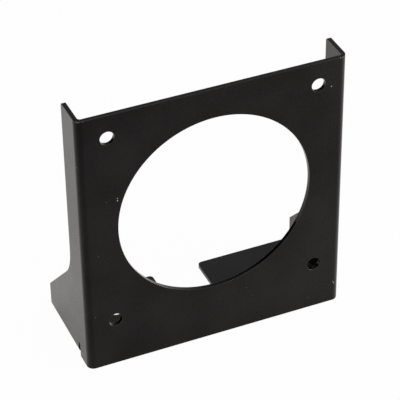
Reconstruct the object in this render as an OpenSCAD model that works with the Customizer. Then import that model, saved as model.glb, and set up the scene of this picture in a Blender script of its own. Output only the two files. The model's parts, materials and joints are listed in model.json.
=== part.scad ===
// Pump mounting bracket, folded from one sheet.
// An upright front plate carries the pump. Two side flanges fold back from it,
// widen towards the base and fold inwards again as feet.
// Sizes are in millimetres. The front looks along -Y and the base is at Z = 0.

/* [Front plate] */
// Width over both side flanges
plate_w = 96; // [90:1:130]
// Height of the front plate
plate_h = 103; // [99:1:150]
// Thickness of the sheet
sheet_t = 1.6; // [1:0.1:2.5]
// Inside radius of every fold
bend_r = 1; // [0.5:0.1:3]

/* [Pump opening] */
// Diameter of the round opening
opening_d = 70; // [40:1:84]
// Distance of the opening's centre below the plate's upper edge
opening_drop = 46.25; // [42:0.25:60]
// Spacing of the pump's screw holes, across and up
screw_pitch = 75; // [64:0.5:80]
// Diameter of the pump's screw holes
screw_d = 5; // [3:0.1:7]

/* [Side flanges] */
// Depth of the bracket at its feet
depth = 38; // [30:0.5:70]
// Depth of the flanges along their narrow upper length
flange_d = 13.2; // [10:0.1:20]
// Height of the flanges' upright back edge above the base
toe_h = 10.9; // [8.5:0.1:20]
// Slope of the flare above the horizontal
flare_a = 45; // [35:1:60]
// Radius where the flare runs into the narrow length
flare_r = 18; // [2:1:30]
// Radius of the upper back corners
corner_r = 1; // [0.2:0.1:4]

/* [Feet] */
// Length of each foot, from the flange's outer face inwards
foot_l = 39; // [30:0.5:46]
// Distance of the feet's front edge behind the plate's front face
foot_start = 9.9; // [8:0.1:14]
// Radius of the feet's free corners
foot_r = 1.5; // [0.2:0.1:8]
// Spacing of the feet's screw holes
foot_pitch = 57; // [40:0.5:70]
// Distance of the feet's screw holes behind the plate's front face
foot_hole_y = 24.9; // [18:0.1:26]
// Diameter of the feet's screw holes
foot_hole_d = 5; // [3:0.1:7]

/* [Relief slots] */
// Width of the slot that parts each foot's fold from the plate's fold
relief_w = 1.5; // [0.6:0.1:3]
// Reach of the slot above the foot's fold
relief_over = 2.9; // [1:0.1:4]

/* [Hidden] */
$fn = 96;

// Outside radius of a fold, and so the reach of a fold along both of its legs
bend_out = bend_r + sheet_t;
// Height of the opening's centre above the base
opening_z = plate_h - opening_drop;
// Height of the relief slot's round end
relief_h = bend_out + relief_over;
// Height at which the flare would meet the narrow length with no radius
flare_top = toe_h + (depth - flange_d) * tan(flare_a);
// Distance from that corner to where the radius leaves each straight edge
flare_reach = flare_r * tan((90 - flare_a) / 2);
// Sheet colour: black satin coating
coat = [0.13, 0.13, 0.13];
// Overshoot of a cut past the face that it leaves by
past = 1;

// Waste outside a rounded corner whose tip is at the origin, with material at -X and -Y
module corner_waste(r) {
    translate([-r, -r])
        difference() {
            square(r + past);
            circle(r);
        }
}

// Section of a fold through a right angle, in the quarter +X, -Y
module fold_section() {
    difference() {
        circle(bend_out);
        circle(bend_r);
        translate([-bend_out - past, -bend_out - past])
            square([bend_out + past, 2 * (bend_out + past)]);
        translate([-past, 0])
            square(bend_out + 2 * past);
    }
}

// Front plate between its two folds, with the opening and the pump's screw holes
module front_plate() {
    flat_w = plate_w - 2 * bend_out;
    translate([0, sheet_t, 0])
        rotate([90, 0, 0])
            linear_extrude(sheet_t)
                difference() {
                    translate([-flat_w / 2, 0])
                        square([flat_w, plate_h]);
                    translate([0, opening_z]) {
                        circle(d = opening_d);
                        for (x = [-1, 1], z = [-1, 1])
                            translate([x, z] * screw_pitch / 2)
                                circle(d = screw_d);
                    }
                }
}

// Fold between the plate and the right flange
module plate_fold() {
    translate([plate_w / 2 - bend_out, bend_out, 0])
        linear_extrude(plate_h)
            fold_section();
}

// Material that rounds the inner corner between the flare and the narrow length
module flare_fillet() {
    centre = [flange_d + flare_r, flare_top + flare_reach];
    difference() {
        polygon([
            [flange_d, flare_top],
            [flange_d, flare_top + flare_reach],
            centre,
            [flange_d, flare_top] + flare_reach * [cos(flare_a), -sin(flare_a)]
        ]);
        translate(centre)
            circle(flare_r);
    }
}

// Slot with a round upper end, open at the base
module relief_slot() {
    translate([foot_start - relief_w, -past])
        square([relief_w, past + relief_h - relief_w / 2]);
    translate([foot_start - relief_w / 2, relief_h - relief_w / 2])
        circle(d = relief_w);
}

// Side view of a flange, depth across and height up
module flange_outline() {
    difference() {
        union() {
            polygon([
                [bend_out, 0],
                [foot_start, 0],
                [foot_start, bend_out],
                [depth, bend_out],
                [depth, toe_h],
                [flange_d, flare_top],
                [flange_d, plate_h],
                [bend_out, plate_h]
            ]);
            flare_fillet();
        }
        translate([flange_d, plate_h])
            corner_waste(corner_r);
        relief_slot();
    }
}

// Right flange, from the plate's fold back
module flange() {
    translate([plate_w / 2 - sheet_t, 0, 0])
        rotate([90, 0, 90])
            linear_extrude(sheet_t)
                flange_outline();
}

// Fold between the right flange and its foot
module foot_fold() {
    translate([plate_w / 2 - bend_out, depth, bend_out])
        rotate([90, 0, 0])
            linear_extrude(depth - foot_start)
                fold_section();
}

// Right foot, with its screw hole
module foot() {
    inner_x = plate_w / 2 - foot_l;
    linear_extrude(sheet_t)
        difference() {
            translate([inner_x, foot_start])
                square([foot_l - bend_out, depth - foot_start]);
            translate([inner_x, depth])
                mirror([1, 0])
                    corner_waste(foot_r);
            translate([inner_x, foot_start])
                rotate(180)
                    corner_waste(foot_r);
            translate([foot_pitch / 2, foot_hole_y])
                circle(d = foot_hole_d);
        }
}

// The whole sheet, with the origin under the middle of its footprint
module bracket() {
    color(coat)
        translate([0, -depth / 2, 0]) {
            front_plate();
            for (side = [0, 1])
                mirror([side, 0, 0]) {
                    plate_fold();
                    flange();
                    foot_fold();
                    foot();
                }
        }
}

bracket();
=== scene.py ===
import bmesh
import bpy
import json
import math
from mathutils import Matrix, Vector


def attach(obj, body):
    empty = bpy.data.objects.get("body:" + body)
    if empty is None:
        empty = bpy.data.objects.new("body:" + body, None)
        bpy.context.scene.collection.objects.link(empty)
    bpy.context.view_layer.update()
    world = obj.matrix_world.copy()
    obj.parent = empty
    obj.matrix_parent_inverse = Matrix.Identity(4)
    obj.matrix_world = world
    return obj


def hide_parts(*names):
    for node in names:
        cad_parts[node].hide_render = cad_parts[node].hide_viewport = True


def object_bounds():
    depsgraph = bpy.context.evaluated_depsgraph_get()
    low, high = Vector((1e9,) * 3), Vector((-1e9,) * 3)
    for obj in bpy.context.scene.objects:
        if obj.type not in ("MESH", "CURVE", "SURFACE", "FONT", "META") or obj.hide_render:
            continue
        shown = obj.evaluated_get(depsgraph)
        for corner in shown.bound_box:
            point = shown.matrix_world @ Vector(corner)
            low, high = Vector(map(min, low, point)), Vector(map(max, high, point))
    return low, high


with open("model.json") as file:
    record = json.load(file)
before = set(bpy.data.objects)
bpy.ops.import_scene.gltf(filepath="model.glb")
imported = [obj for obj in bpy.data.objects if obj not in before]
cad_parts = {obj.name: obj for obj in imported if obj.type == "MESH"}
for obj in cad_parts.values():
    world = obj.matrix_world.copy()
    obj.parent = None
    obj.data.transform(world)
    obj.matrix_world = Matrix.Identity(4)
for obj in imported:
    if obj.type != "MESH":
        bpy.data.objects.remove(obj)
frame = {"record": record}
cadLow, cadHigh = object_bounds()
mounts = {mount["name"]: mount for mount in frame["record"]["mounts"]}
print("frame loaded")

# Bracket, in metres: the overall box and the holes come from the frame
sheet = {
    "thickness": 0.0016,
    "insideRadius": 0.001,
    "flangeDepth": 0.0132,
    "toeHeight": 0.0109,
    "flareAngle": math.radians(45),
    "flareRadius": 0.018,
    "cornerRadius": 0.001,
    "footLength": 0.039,
    "footStart": 0.0099,
    "footCorner": 0.0015,
    "reliefWidth": 0.0015,
    "reliefOver": 0.0029,
    "rimRound": 0.0001,  # the plate's holes, in front
    "backRound": 0.00008,  # the plate's holes, behind
    "edgeRound": 0.00016,  # every other edge
    "holeMargin": 0.0001,  # rims of holes lie further than this inside the plate's outline
    "samePlace": 0.000001,
    "flatAngle": 0.01,
    "sharpAngle": math.radians(35),
    "foldSteps": 12,
    "flareSteps": 14,
    "cornerSteps": 6,
    "openingSteps": 160,
    "screwSteps": 48,
    "edgeSteps": 4,
    "flatWeight": 100,
}
coatOrder = ["outerCoat", "innerCoat", "cutEdge", "edgeWearAndHighlight"]  # the sheet's material slots
millimetre = 0.001
quarterTurn = math.pi / 2
acrossX = Vector((1, 0, 0))
alongY = Vector((0, 1, 0))
upZ = Vector((0, 0, 1))
halfWidth = cadHigh.x
frontY = cadLow.y
backY = cadHigh.y
topZ = cadHigh.z
foldReach = sheet["insideRadius"] + sheet["thickness"]
foldX = halfWidth - foldReach


# Drawing an outline point by point
def lineTo(bm, start, point):
    end = bmesh.ops.extrude_vert_indiv(bm, verts=[start])["verts"][0]
    end.co = point
    return end


def arcTo(bm, start, centre, axis, angle, steps):
    turned = bmesh.ops.spin(bm, geom=[start], cent=centre, axis=axis, angle=angle, steps=steps)
    return [v for v in turned["geom_last"] if isinstance(v, bmesh.types.BMVert)][0]


def foldEdge(bm, edge, centre, axis):
    turned = bmesh.ops.spin(bm, geom=[*edge.verts, edge], cent=centre, axis=axis, angle=quarterTurn,
                            steps=sheet["foldSteps"])
    return [e for e in turned["geom_last"] if isinstance(e, bmesh.types.BMEdge)][0]


def endAt(edge, axis, high):
    ends = sorted(edge.verts, key=lambda v: v.co.dot(axis))
    return ends[-1] if high else ends[0]


def holeLoop(bm, centre, radius, steps, turn):
    ring = bmesh.ops.create_circle(bm, segments=steps, radius=radius,
                                   matrix=Matrix.Translation(centre) @ turn)
    corners = set(ring["verts"])
    return [e for e in bm.edges if corners.issuperset(e.verts)]


# Fills a flat outline that may hold holes, and clears the inner edges that it doesn't need
def fillFlat(bm, edges):
    made = bmesh.ops.triangle_fill(bm, edges=edges, use_beauty=True, use_dissolve=False)
    faces = {f for f in made["geom"] if isinstance(f, bmesh.types.BMFace)}
    inner = [e for e in bm.edges if len(e.link_faces) == 2 and faces.issuperset(e.link_faces)]
    bmesh.ops.dissolve_limit(bm, angle_limit=sheet["flatAngle"], verts=[], edges=inner)


# A point of the right flange's outer face
def onFlange(depth, height):
    return Vector((halfWidth, frontY + depth, height))


# Right flange, in drawing order: relief slot, foot's fold, toe, flare and upper corner
def drawFlange(bm, foldEnd):
    s = sheet
    depth = backY - frontY
    slotFront = s["footStart"] - s["reliefWidth"]
    slotMiddle = s["footStart"] - s["reliefWidth"] / 2
    slotTop = foldReach + s["reliefOver"] - s["reliefWidth"] / 2
    flareTop = s["toeHeight"] + (depth - s["flangeDepth"]) * math.tan(s["flareAngle"])
    flareReach = s["flareRadius"] * math.tan((quarterTurn - s["flareAngle"]) / 2)
    flareEnd = onFlange(s["flangeDepth"] + flareReach * math.cos(s["flareAngle"]),
                        flareTop - flareReach * math.sin(s["flareAngle"]))
    flareCentre = onFlange(s["flangeDepth"] + s["flareRadius"], flareTop + flareReach)
    cornerCentre = onFlange(s["flangeDepth"] - s["cornerRadius"], topZ - s["cornerRadius"])
    known = set(bm.edges)
    tip = lineTo(bm, endAt(foldEnd, upZ, False), onFlange(slotFront, 0))
    tip = lineTo(bm, tip, onFlange(slotFront, slotTop))
    tip = arcTo(bm, tip, onFlange(slotMiddle, slotTop), acrossX, -math.pi, 2 * s["cornerSteps"])
    heel = lineTo(bm, tip, onFlange(s["footStart"], foldReach))
    tip = lineTo(bm, heel, onFlange(depth, foldReach))
    footEdge = bm.edges.get((heel, tip))
    tip = lineTo(bm, tip, onFlange(depth, s["toeHeight"]))
    tip = lineTo(bm, tip, flareEnd)
    tip = arcTo(bm, tip, flareCentre, acrossX, s["flareAngle"] - quarterTurn, s["flareSteps"])
    tip = lineTo(bm, tip, onFlange(s["flangeDepth"], topZ - s["cornerRadius"]))
    tip = arcTo(bm, tip, cornerCentre, acrossX, quarterTurn, s["cornerSteps"])
    bm.edges.new((tip, endAt(foldEnd, upZ, True)))
    fillFlat(bm, [e for e in bm.edges if e not in known] + [foldEnd])
    return footEdge


def drawFoot(bm, foldEnd):
    s = sheet
    innerX = halfWidth - s["footLength"]
    startY = frontY + s["footStart"]
    frontCorner = Vector((innerX + s["footCorner"], startY + s["footCorner"], 0))
    backCorner = Vector((innerX + s["footCorner"], backY - s["footCorner"], 0))
    screw = mounts["base_screws"]
    screwAt = Vector((screw["dims"]["spacing_x_mm"] * millimetre / 2, screw["pos_m"][1], 0))
    known = set(bm.edges)
    tip = lineTo(bm, endAt(foldEnd, alongY, False), Vector((frontCorner.x, startY, 0)))
    tip = arcTo(bm, tip, frontCorner, upZ, -quarterTurn, s["cornerSteps"])
    tip = lineTo(bm, tip, Vector((innerX, backCorner.y, 0)))
    tip = arcTo(bm, tip, backCorner, upZ, -quarterTurn, s["cornerSteps"])
    bm.edges.new((tip, endAt(foldEnd, alongY, True)))
    holeLoop(bm, screwAt, screw["dims"]["hole_r_mm"] * millimetre, s["screwSteps"], Matrix())
    fillFlat(bm, [e for e in bm.edges if e not in known] + [foldEnd])


def drawPlate(bm, rightEdge, leftEdge):
    opening = mounts["pump_opening"]
    screws = mounts["pump_screws"]
    openingRadius = opening["dims"]["r_mm"] * millimetre
    screwRadius = screws["dims"]["hole_r_mm"] * millimetre
    stepX = screws["dims"]["spacing_x_mm"] * millimetre / 2
    stepZ = screws["dims"]["spacing_y_mm"] * millimetre / 2
    centre = Vector((opening["pos_m"][0], frontY, opening["pos_m"][2]))
    upright = Matrix.Rotation(quarterTurn, 4, "X")
    edges = [rightEdge, leftEdge]
    for high in (False, True):
        edges.append(bm.edges.new((endAt(rightEdge, upZ, high), endAt(leftEdge, upZ, high))))
    edges += holeLoop(bm, centre, openingRadius, sheet["openingSteps"], upright)
    for x in (-stepX, stepX):
        for z in (-stepZ, stepZ):
            edges += holeLoop(bm, centre + Vector((x, 0, z)), screwRadius, sheet["screwSteps"], upright)
    fillFlat(bm, edges)


def roundEdges(bm, edges, radius):
    made = bmesh.ops.bevel(bm, geom=edges, offset=radius, segments=sheet["edgeSteps"], profile=0.5,
                           affect="EDGES", clamp_overlap=True, material=-1)
    # the roundings take the lighter edge finish, a painted highlight
    for face in made["faces"]:
        face.material_index = coatOrder.index("edgeWearAndHighlight")


def sharpEdges(bm):
    return [e for e in bm.edges if e.calc_face_angle(0) > sheet["sharpAngle"]]


# Rims of the plate's holes on its face at this depth, clear of the plate's own outline
def holeRims(bm, depth):
    margin = sheet["holeMargin"]

    def inPlate(v):
        level = abs(v.co.y - frontY - depth) < sheet["samePlace"]
        return level and abs(v.co.x) < foldX - margin and margin < v.co.z < topZ - margin

    return [e for e in sharpEdges(bm) if all(inPlate(v) for v in e.verts)]


# Gives the skin its wall, then rounds the rims of the plate's holes and all other edges
def addWall(bm):
    skin = set(bm.faces)
    rims = [e for e in bm.edges if e.is_boundary]
    bmesh.ops.solidify(bm, geom=bm.verts[:] + bm.edges[:] + bm.faces[:], thickness=sheet["thickness"])
    cut = {f for e in rims for f in e.link_faces if f not in skin}
    for face in bm.faces:
        coat = "cutEdge" if face in cut else "outerCoat" if face in skin else "innerCoat"
        face.material_index = coatOrder.index(coat)
    roundEdges(bm, holeRims(bm, 0), sheet["rimRound"])
    roundEdges(bm, holeRims(bm, sheet["thickness"]), sheet["backRound"])
    roundEdges(bm, sharpEdges(bm), sheet["edgeRound"])


# Outer skin of the folded sheet: right half, its mirror image, then the plate between them
def makeBracket():
    near = sheet["samePlace"]
    bm = bmesh.new()
    low = bm.verts.new((foldX, frontY, 0))
    high = lineTo(bm, low, Vector((foldX, frontY, topZ)))
    flangeEdge = foldEdge(bm, bm.edges.get((low, high)), (foldX, frontY + foldReach, 0), upZ)
    footEdge = drawFlange(bm, flangeEdge)
    drawFoot(bm, foldEdge(bm, footEdge, (foldX, 0, foldReach), alongY))
    bmesh.ops.mirror(bm, geom=bm.verts[:] + bm.edges[:] + bm.faces[:], axis="X", merge_dist=-1)
    uprights = [e for e in bm.edges if e.is_boundary and
                all(abs(v.co.y - frontY) < near for v in e.verts) and
                abs(e.verts[0].co.x - e.verts[1].co.x) < near]
    leftEdge, rightEdge = sorted(uprights, key=lambda e: e.verts[0].co.x)
    drawPlate(bm, rightEdge, leftEdge)
    bmesh.ops.remove_doubles(bm, verts=bm.verts[:], dist=near)
    bmesh.ops.recalc_face_normals(bm, faces=bm.faces[:])
    addWall(bm)
    mesh = bpy.data.meshes.new("bracketSheet")
    bm.to_mesh(mesh)
    bm.free()
    mesh.shade_smooth()
    piece = bpy.data.objects.new("bracketSheet", mesh)
    bpy.context.scene.collection.objects.link(piece)
    flats = piece.modifiers.new("flats", "WEIGHTED_NORMAL")
    flats.weight = sheet["flatWeight"]
    return piece


bracket = makeBracket()
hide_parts("bracket")
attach(bracket, "root")
print("bracket folded")

fullRange = (0, 1)


# Shader node helpers: a node by type with its settings, and a socket fed by a link or a plain value
def addNode(tree, kind, **settings):
    node = tree.nodes.new(kind)
    for name, value in settings.items():
        setattr(node, name, value)
    return node


def feed(tree, socket, source):
    if isinstance(source, bpy.types.NodeSocket):
        tree.links.new(source, socket)
    else:
        socket.default_value = source


def combine(tree, operation, *sources):
    node = addNode(tree, "ShaderNodeMath", operation=operation)
    for socket, source in zip(node.inputs, sources):
        feed(tree, socket, source)
    return node.outputs["Value"]


def mixColour(tree, factor, first, second):
    node = addNode(tree, "ShaderNodeMix", data_type="RGBA")
    for socket, source in (("Factor", factor), ("A", first), ("B", second)):
        feed(tree, node.inputs[socket], source)
    return node.outputs["Result"]


# Eases a value from one range into another
def stretch(tree, source, fromRange, toRange):
    node = addNode(tree, "ShaderNodeMapRange", interpolation_type="SMOOTHSTEP")
    for socket, value in zip(("From Min", "From Max", "To Min", "To Max"), (*fromRange, *toRange)):
        node.inputs[socket].default_value = value
    tree.links.new(source, node.inputs["Value"])
    return node.outputs["Result"]


# Groups with their own sockets, and their place in a material
def startGroup(name, inputs, outputs):
    tree = bpy.data.node_groups.new(name, "ShaderNodeTree")
    for socket, value in inputs.items():
        made = tree.interface.new_socket(socket, in_out="INPUT", socket_type="NodeSocketFloat")
        made.default_value = value
    for socket in outputs:
        tree.interface.new_socket(socket, in_out="OUTPUT", socket_type="NodeSocketFloat")
    return tree, addNode(tree, "NodeGroupInput"), addNode(tree, "NodeGroupOutput")


def placeGroup(tree, group, values):
    node = addNode(tree, "ShaderNodeGroup", node_tree=group)
    for socket, value in values.items():
        node.inputs[socket].default_value = value
    return node


# Baked powder: a fine grain over a softer orange peel, and a slow drift of tone
powder = {
    "scale": {"Grain": 1800, "Peel": 420, "Drift": 45},
    "detail": {"Grain": 2, "Peel": 1, "Drift": 3},
    "grainHeight": 0.45,  # against the peel
    "grainTone": 0.6,  # against the drift
    "toneSpread": (0.5, 1.1),
    "bumpDepth": 0.00003,
    "ior": 1.5,
}


def powderGrain():
    tree, given, out = startGroup("powderGrain", powder["scale"], ("Height", "Tone"))
    spot = addNode(tree, "ShaderNodeTexCoord").outputs["Object"]
    layers = {}
    for name, detail in powder["detail"].items():
        noise = addNode(tree, "ShaderNodeTexNoise")
        noise.inputs["Detail"].default_value = detail
        tree.links.new(spot, noise.inputs["Vector"])
        tree.links.new(given.outputs[name], noise.inputs["Scale"])
        layers[name] = noise.outputs["Fac"]
    height = combine(tree, "MULTIPLY_ADD", layers["Grain"], powder["grainHeight"], layers["Peel"])
    tone = combine(tree, "MULTIPLY_ADD", layers["Grain"], powder["grainTone"], layers["Drift"])
    tree.links.new(height, out.inputs["Height"])
    tree.links.new(stretch(tree, tone, powder["toneSpread"], fullRange), out.inputs["Tone"])
    return tree


# Stray dust: one speck in some cells of a coarse cell pattern
dust = {"Cells": 150, "Speck": 0.05, "Bare Share": 0.6}


def dustSpecks():
    tree, given, out = startGroup("dustSpecks", dust, ("Mask",))
    cells = addNode(tree, "ShaderNodeTexVoronoi")
    tree.links.new(addNode(tree, "ShaderNodeTexCoord").outputs["Object"], cells.inputs["Vector"])
    tree.links.new(given.outputs["Cells"], cells.inputs["Scale"])
    draw = addNode(tree, "ShaderNodeSeparateColor")
    tree.links.new(cells.outputs["Color"], draw.inputs["Color"])
    near = combine(tree, "LESS_THAN", cells.outputs["Distance"], given.outputs["Speck"])
    kept = combine(tree, "GREATER_THAN", draw.outputs["Red"], given.outputs["Bare Share"])
    tree.links.new(combine(tree, "MULTIPLY", near, kept), out.inputs["Mask"])
    return tree


# Specks, a scrape, and painted highlights at the fold ends, in metres and radians
# long and wide are half sizes, and setBack is the distance behind the front face
frontMarksAndHighlights = {
    "besideUpperRightHole": {"x": 0.0422, "z": 0.0925, "long": 0.00022, "wide": 0.00022, "strength": 0.9},
    "pairUpper": {"x": -0.0349, "z": 0.0698, "long": 0.00020, "wide": 0.00020, "strength": 0.8},
    "pairLower": {"x": -0.0349, "z": 0.0689, "long": 0.00022, "wide": 0.00022, "strength": 1.0},
    "leftOfPair": {"x": -0.0388, "z": 0.0694, "long": 0.00020, "wide": 0.00036, "strength": 0.10},
    "belowOpening": {"x": 0.0115, "z": 0.0170, "long": 0.00022, "wide": 0.00022, "strength": 0.14},
    "nearLowerEdge": {"x": 0.0138, "z": 0.0126, "long": 0.00022, "wide": 0.00022, "strength": 0.08},
    "lowerRight": {"x": 0.0358, "z": 0.0043, "long": 0.00022, "wide": 0.00022, "strength": 0.12},
    "leftEdge": {"x": -0.0425, "z": 0.0481, "long": 0.00024, "wide": 0.00024, "strength": 0.14},
    "lowerLeft": {"x": -0.0447, "z": 0.0227, "long": 0.00026, "wide": 0.00022, "strength": 0.14},
    "leftFold": {"x": -0.0478, "z": 0.0849, "long": 0.00022, "wide": 0.00022, "strength": 0.4,
                 "setBack": 0.0014},
    "cornerScrape": {"x": 0.0456, "z": 0.0081, "long": 0.0010, "wide": 0.00018, "strength": 0.4,
                     "turn": 1.2},
    # painted highlights: lighter colour on the rounded top edges at the folds' ends, standing in for light
    # caught there
    "leftFoldTopHighlight": {"x": -0.0471, "z": 0.1027, "long": 0.0010, "wide": 0.00026, "strength": 0.25,
                    "setBack": 0.0006, "swing": -0.73},
    "leftFoldStartHighlight": {"x": -0.0455, "z": 0.1029, "long": 0.0004, "wide": 0.00020, "strength": 0.12},
    "rightFoldTopHighlight": {"x": 0.0452, "z": 0.1028, "long": 0.00030, "wide": 0.00026, "strength": 0.2},
}
markShape = {"depth": 0.0008, "core": 0.6}  # half depth, and the share of a mark before it fades


# Mask of the front's specks and scrape, and of the painted highlights at the fold ends
def frontSpecksAndHighlights():
    tree, _, out = startGroup("frontSpecksAndHighlights", {}, ("Mask",))
    spot = addNode(tree, "ShaderNodeTexCoord").outputs["Object"]
    mask = 0
    for mark in frontMarksAndHighlights.values():
        place = addNode(tree, "ShaderNodeMapping", vector_type="TEXTURE")
        place.inputs["Location"].default_value = (mark["x"], frontY + mark.get("setBack", 0), mark["z"])
        place.inputs["Rotation"].default_value = (0, mark.get("turn", 0), mark.get("swing", 0))
        place.inputs["Scale"].default_value = (mark["long"], markShape["depth"], mark["wide"])
        tree.links.new(spot, place.inputs["Vector"])
        reach = addNode(tree, "ShaderNodeVectorMath", operation="LENGTH")
        tree.links.new(place.outputs["Vector"], reach.inputs[0])
        one = stretch(tree, reach.outputs["Value"], (markShape["core"], 1), (mark["strength"], 0))
        mask = combine(tree, "MAXIMUM", one, mask)
    tree.links.new(mask, out.inputs["Mask"])
    return tree


# Finishes of the sheet: outer skin, inner skin, cut edge, and the rounding between skin and edge, painted
# lighter as a highlight along every edge and partly as a thinner coat
coats = {
    "outerCoat": {
        "dark": (0.0026, 0.0020, 0.0020, 1),
        "light": (0.0084, 0.0068, 0.0068, 1),
        "roughness": (0.21, 0.28),
        "facing": (0.10, 0.10, 0.10, 1),  # tint of the gloss where it is seen square on
        "bump": 0.3,
        "grain": {"Grain": 1800, "Peel": 420, "Drift": 45},
        "specks": ("front", {}),
        "speckAndHighlightTone": (0.45, 0.44, 0.42, 1),
    },
    "innerCoat": {
        "dark": (0.0026, 0.0021, 0.0019, 1),
        "light": (0.0082, 0.0068, 0.0063, 1),
        "roughness": (0.24, 0.30),
        "facing": (0.45, 0.45, 0.45, 1),
        "bump": 0.3,
        "grain": {"Grain": 1800, "Peel": 420, "Drift": 45},
        "specks": ("dust", {"Cells": 150, "Bare Share": 0.6}),
        "speckAndHighlightTone": (0.16, 0.155, 0.15, 1),
    },
    "cutEdge": {
        "dark": (0.0014, 0.0012, 0.0011, 1),
        "light": (0.0026, 0.0022, 0.0021, 1),
        "roughness": (0.10, 0.14),
        "facing": (0, 0, 0, 1),
        "bump": 0.1,
        "grain": {"Grain": 2400, "Peel": 600, "Drift": 60},
        "specks": ("dust", {"Cells": 120, "Bare Share": 0.7}),
        "speckAndHighlightTone": (0.16, 0.155, 0.15, 1),
    },
    # painted highlight: the edge roundings are lighter than the skin, standing in for light along the
    # edges, and partly a thinner coat there
    "edgeWearAndHighlight": {
        "dark": (0.0050, 0.0044, 0.0042, 1),
        "light": (0.0100, 0.0088, 0.0085, 1),
        "roughness": (0.18, 0.24),
        "facing": (1, 1, 1, 1),
        "bump": 0.1,
        "grain": {"Grain": 2400, "Peel": 600, "Drift": 45},
        "specks": ("front", {}),
        "speckAndHighlightTone": (0.45, 0.44, 0.42, 1),
    },
}
grainGroup = powderGrain()
speckGroups = {"front": frontSpecksAndHighlights(), "dust": dustSpecks()}


def coatMaterial(name, look):
    mat = bpy.data.materials.new(name)
    mat.use_nodes = True
    tree = mat.node_tree
    shader = tree.nodes["Principled BSDF"]
    shader.inputs["IOR"].default_value = powder["ior"]
    shader.inputs["Specular Tint"].default_value = look["facing"]
    speckKind, speckValues = look["specks"]
    grain = placeGroup(tree, grainGroup, look["grain"])
    specks = placeGroup(tree, speckGroups[speckKind], speckValues)
    tone = mixColour(tree, grain.outputs["Tone"], look["dark"], look["light"])
    # the specks and scrape, and the painted highlights at the fold ends, in a lighter tone
    dustAndHighlights = mixColour(tree, specks.outputs["Mask"], tone, look["speckAndHighlightTone"])
    roughness = stretch(tree, grain.outputs["Tone"], fullRange, look["roughness"])
    bump = addNode(tree, "ShaderNodeBump")
    bump.inputs["Strength"].default_value = look["bump"]
    bump.inputs["Distance"].default_value = powder["bumpDepth"]
    tree.links.new(grain.outputs["Height"], bump.inputs["Height"])
    tree.links.new(dustAndHighlights, shader.inputs["Base Color"])
    tree.links.new(roughness, shader.inputs["Roughness"])
    tree.links.new(bump.outputs["Normal"], shader.inputs["Normal"])
    return mat


for coat in coatOrder:
    bracket.data.materials.append(coatMaterial(coat, coats[coat]))
print("coat applied")

# Camera at the photograph's viewing angle
photoView = {
    "azimuth": math.radians(-23.019),
    "elevation": math.radians(36.456),
    "roll": math.radians(-0.787),
    "distance": 0.656471,
    "focalPixels": 1968.74,
    "framePixels": 400,
    "sensor": 36.0,
    "clipStart": 0.01,
    "targetX": -0.005683,
    "targetZ": 0.060263,
}


def placeCamera(view):
    azimuth = view["azimuth"]
    elevation = view["elevation"]
    roll = view["roll"]
    level = Vector((math.cos(azimuth), math.sin(azimuth), 0))
    outward = Vector((math.sin(azimuth), -math.cos(azimuth), 0))
    back = math.cos(elevation) * outward + math.sin(elevation) * upZ
    right = math.cos(roll) * level + math.sin(roll) * back.cross(level)
    up = back.cross(right)
    lens = bpy.data.cameras.new("photoView")
    lens.sensor_width = view["sensor"]
    lens.lens = view["focalPixels"] / view["framePixels"] * view["sensor"]
    lens.clip_start = view["clipStart"]
    camera = bpy.data.objects.new("photoView", lens)
    spot = Vector((view["targetX"], frontY, view["targetZ"])) + back * view["distance"]
    camera.matrix_world = Matrix.Translation(spot) @ Matrix((right, up, back)).transposed().to_4x4()
    bpy.context.scene.collection.objects.link(camera)
    bpy.context.scene.camera = camera


placeCamera(photoView)
print("camera placed")

# Plain studio: a pale floor, soft boxes aimed at the bracket, and a sky that dims upwards
studio = {
    "skyTone": (1, 1, 1, 1),
    "horizonLevel": 0.8,
    "zenithLevel": 0.25,
    "flagSide": (-0.62, 0.74, 0.25),  # a dark flag at the back left, which the opening's wall mirrors
    "flagSpread": (0.80, 0.92),
    "flagLevel": 0.12,
    "floorTone": (0.82, 0.82, 0.81, 1),
    "floorRoughness": 0.9,
    "floorHalf": 3.0,
    "floorDrop": 0.00005,
    "floorWhite": 0.97,  # share of the floor seen as a plain glow, the rest keeps its shadow
    "paperTone": (1.0, 0.98, 0.95, 1),  # the floor as the coat mirrors it, shaded close to the bracket
    "shadeReach": 0.08,
    "shadeLevel": 0.5,
    "aim": (0.0, 0.0, 0.045),
    "softboxes": {
        "topBox": {"place": (-0.1, -0.3, 1.0), "size": 0.7, "watts": 4.5},
        "rightBox": {"place": (0.30, -0.22, 0.04), "size": 0.2, "watts": 1.5},
    },
}


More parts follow.
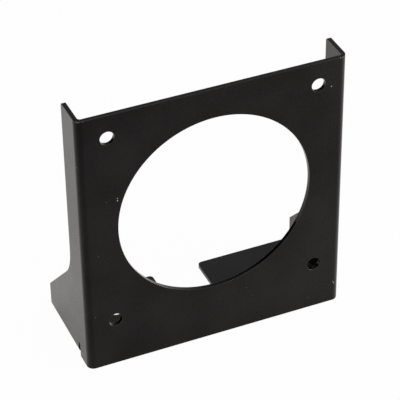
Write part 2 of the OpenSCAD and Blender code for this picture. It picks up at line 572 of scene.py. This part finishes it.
def paleFloor():
    mat = bpy.data.materials.new("paleFloor")
    mat.use_nodes = True
    tree = mat.node_tree
    base = tree.nodes["Principled BSDF"]
    base.inputs["Base Color"].default_value = studio["floorTone"]
    base.inputs["Roughness"].default_value = studio["floorRoughness"]
    base.inputs["Specular IOR Level"].default_value = 0
    nearby = addNode(tree, "ShaderNodeAmbientOcclusion")
    nearby.inputs["Distance"].default_value = studio["shadeReach"]
    white = addNode(tree, "ShaderNodeEmission")
    shaded = addNode(tree, "ShaderNodeEmission")
    shaded.inputs["Color"].default_value = studio["paperTone"]
    level = stretch(tree, nearby.outputs["AO"], fullRange, (studio["shadeLevel"], 1))
    tree.links.new(level, shaded.inputs["Strength"])
    ray = addNode(tree, "ShaderNodeLightPath")
    surface = base.outputs[0]
    for kind, glow in (("Is Camera Ray", white), ("Is Transmission Ray", white), ("Is Glossy Ray", shaded)):
        share = combine(tree, "MULTIPLY", ray.outputs[kind], studio["floorWhite"])
        mix = addNode(tree, "ShaderNodeMixShader")
        tree.links.new(share, mix.inputs["Fac"])
        tree.links.new(surface, mix.inputs[1])
        tree.links.new(glow.outputs[0], mix.inputs[2])
        surface = mix.outputs[0]
    tree.links.new(surface, tree.nodes["Material Output"].inputs["Surface"])
    return mat


def layFloor():
    bm = bmesh.new()
    bmesh.ops.create_grid(bm, x_segments=1, y_segments=1, size=studio["floorHalf"],
                          matrix=Matrix.Translation((0, 0, -studio["floorDrop"])))
    mesh = bpy.data.meshes.new("floor")
    bm.to_mesh(mesh)
    bm.free()
    mesh.materials.append(paleFloor())
    floor = bpy.data.objects.new("floor", mesh)
    bpy.context.scene.collection.objects.link(floor)


def hangSoftbox(name, box):
    light = bpy.data.lights.new(name, "AREA")
    light.size = box["size"]
    light.energy = box["watts"]
    lamp = bpy.data.objects.new(name, light)
    away = Vector(box["place"]) - Vector(studio["aim"])
    lamp.location = box["place"]
    lamp.rotation_euler = away.to_track_quat("Z", "Y").to_euler()
    lamp.visible_camera = False
    bpy.context.scene.collection.objects.link(lamp)


# The camera itself sees a white sky
def lightSky():
    sky = bpy.data.worlds.new("studioSky")
    sky.use_nodes = True
    tree = sky.node_tree
    glow = tree.nodes["Background"]
    glow.inputs["Color"].default_value = studio["skyTone"]
    gaze = addNode(tree, "ShaderNodeTexCoord").outputs["Generated"]
    height = addNode(tree, "ShaderNodeSeparateXYZ")
    tree.links.new(gaze, height.inputs["Vector"])
    level = stretch(tree, height.outputs["Z"], fullRange, (studio["horizonLevel"], studio["zenithLevel"]))
    toFlag = addNode(tree, "ShaderNodeVectorMath", operation="DOT_PRODUCT")
    toFlag.inputs[1].default_value = Vector(studio["flagSide"]).normalized()
    tree.links.new(gaze, toFlag.inputs[0])
    shade = stretch(tree, toFlag.outputs["Value"], studio["flagSpread"], (1, studio["flagLevel"]))
    dimmed = combine(tree, "MULTIPLY", level, shade)
    ray = addNode(tree, "ShaderNodeLightPath")
    seen = combine(tree, "MAXIMUM", dimmed, ray.outputs["Is Camera Ray"])
    tree.links.new(seen, glow.inputs["Strength"])
    bpy.context.scene.world = sky


layFloor()
for name, box in studio["softboxes"].items():
    hangSoftbox(name, box)
lightSky()
bpy.context.scene.view_settings.view_transform = "Standard"
print("studio lit")
